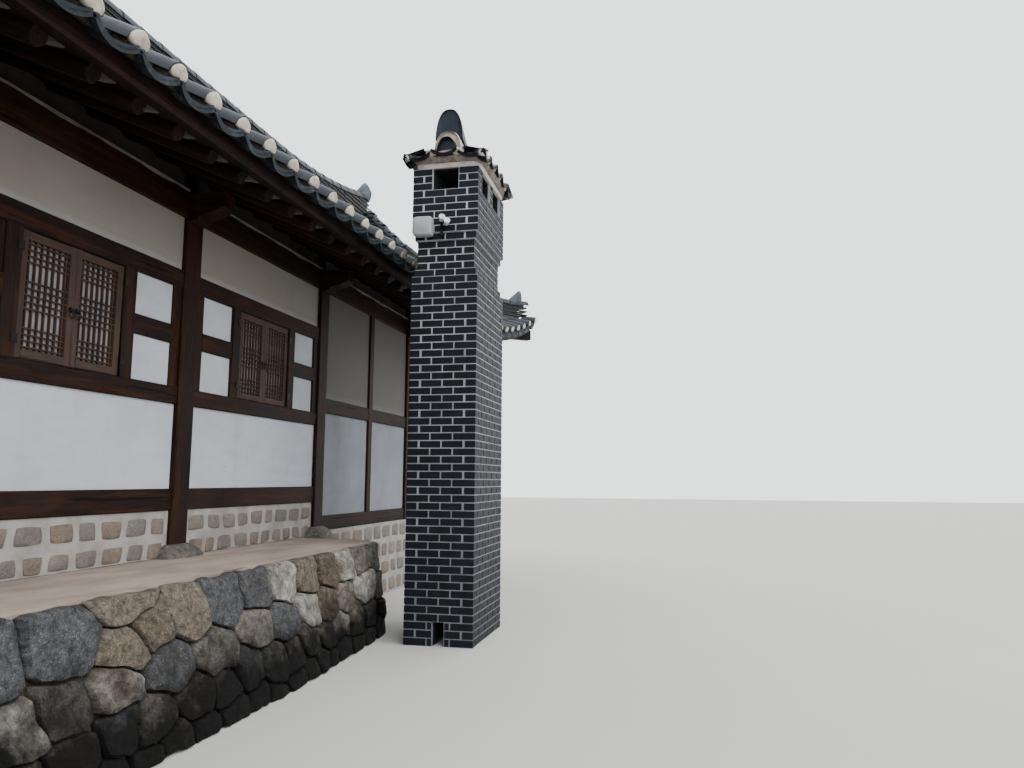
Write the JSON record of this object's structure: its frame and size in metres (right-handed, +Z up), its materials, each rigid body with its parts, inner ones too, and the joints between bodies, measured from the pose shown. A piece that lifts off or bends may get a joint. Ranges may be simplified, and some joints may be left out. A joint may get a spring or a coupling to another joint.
{
  "type": "hanok house",
  "caption": "Long timber-framed traditional house with a hip-and-gable tiled roof, plastered walls and lattice windows, on a rough stone platform, with a free-standing brick chimney.",
  "frame": {"origin": "middle of the whole footprint, chimney and eaves included, on the ground", "axes": "+X along the house towards its far end, -Y out of the front wall where the chimney stands, +Z up"},
  "size_m": [14.805, 6.18, 6.5512],
  "materials": {
    "house_timber": "oiled pine, weathered dark red-brown",
    "window_wood": "dry bare pine, greyed brown",
    "lime_plaster": "trowelled lime plaster, matt white",
    "rough_granite": "split field granite, rough",
    "base_stone": "squared rubble in wide white joints",
    "roof_tile": "smoked clay tile, slate blue-black",
    "black_brick": "smoked clay brick in pale mortar",
    "lime_mortar": "lime mortar, weathered",
    "clay_floor": "clay floor under oiled paper"
  },
  "bodies": {
    "root": {"platform": "rough_granite", "far_plinth": "base_stone", "stone_base": "base_stone", "near_floor": "clay_floor", "far_floor": "clay_floor", "post_frame_1": "house_timber", "post_frame_2": "house_timber", "post_frame_3": "house_timber", "post_frame_4": "house_timber", "post_frame_5": "house_timber", "post_frame_6": "house_timber", "front_lower_beam_near": "house_timber", "front_lower_beam_far": "house_timber", "front_rails_near": "house_timber", "front_rails_far": "house_timber", "front_plate": "house_timber", "front_wall_1": "lime_plaster", "front_wall_2": "lime_plaster", "front_wall_3": "lime_plaster", "front_wall_4": "lime_plaster", "front_wall_5": "lime_plaster", "front_window_1": "window_wood", "front_window_2": "window_wood", "front_window_3": "window_wood", "front_roof_deck": "house_timber", "front_tiles": "roof_tile", "back_lower_beam_near": "house_timber", "back_lower_beam_far": "house_timber", "back_rails_near": "house_timber", "back_rails_far": "house_timber", "back_plate": "house_timber", "back_wall_1": "lime_plaster", "back_wall_2": "lime_plaster", "back_wall_3": "lime_plaster", "back_wall_4": "lime_plaster", "back_wall_5": "lime_plaster", "back_window_1": "window_wood", "back_window_2": "window_wood", "back_window_3": "window_wood", "back_roof_deck": "house_timber", "back_tiles": "roof_tile", "near_end_frame": "house_timber", "near_end_wall": "lime_plaster", "near_end_roof_deck": "house_timber", "near_end_tiles": "roof_tile", "near_gable": "house_timber", "near_front_corner_ridge": "roof_tile", "near_back_corner_ridge": "roof_tile", "far_end_frame": "house_timber", "far_end_wall": "lime_plaster", "far_end_roof_deck": "house_timber", "far_end_tiles": "roof_tile", "far_gable": "house_timber", "far_front_corner_ridge": "roof_tile", "far_back_corner_ridge": "roof_tile", "main_ridge": "roof_tile", "chimney_shaft": "black_brick", "chimney_cap": "lime_mortar", "chimney_top_tile": "roof_tile"}
  },
  "joints": []
}
